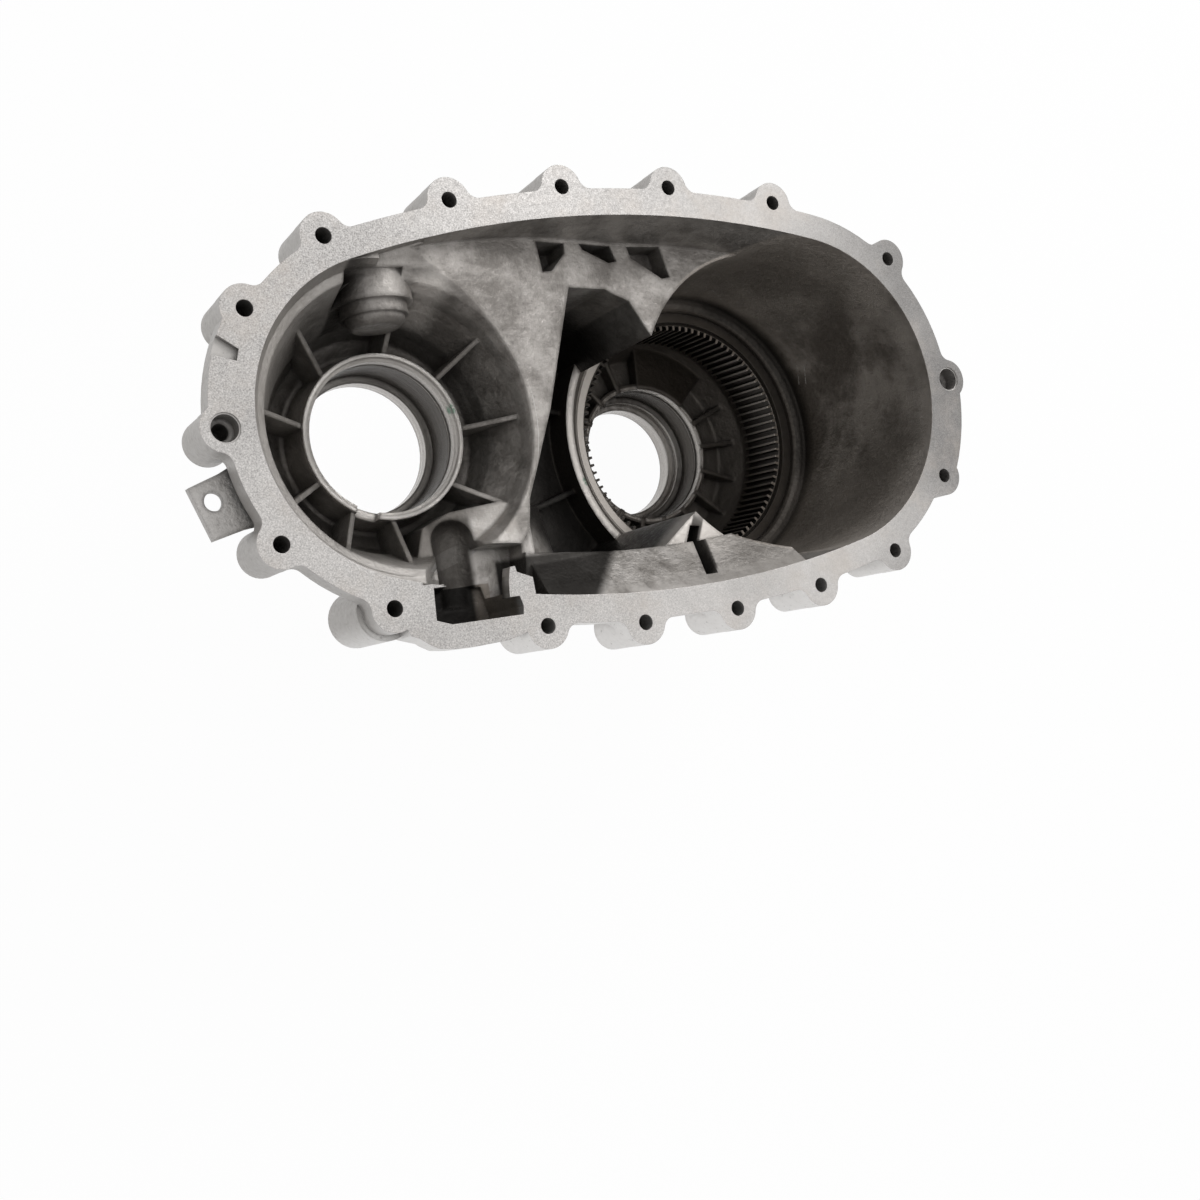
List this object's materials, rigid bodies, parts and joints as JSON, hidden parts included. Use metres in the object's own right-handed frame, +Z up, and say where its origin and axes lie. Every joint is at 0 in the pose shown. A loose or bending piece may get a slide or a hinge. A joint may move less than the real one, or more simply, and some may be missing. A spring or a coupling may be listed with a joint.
{
  "type": "transfer case housing half",
  "caption": "Cast aluminium transfer case half: oval bolted flange, bowl round the front output bore, deep planetary pocket with internal ring gear and a round mounting flange.",
  "frame": {"origin": "centre of the transmission bolt circle on the mounting face, on the input axis", "axes": "+Z up along both bores towards the open flange, +X from the front output axis to the input axis"},
  "size_m": [0.5023, 0.2734, 0.245],
  "materials": {
    "casting": "as cast, machined faces",
    "ring_gear": "machined, oiled",
    "snap_ring": "oiled spring steel"
  },
  "bodies": {
    "root": {"housing_casting": "casting", "annulus_ring_gear": "ring_gear", "annulus_snap_ring": "snap_ring"}
  },
  "joints": []
}
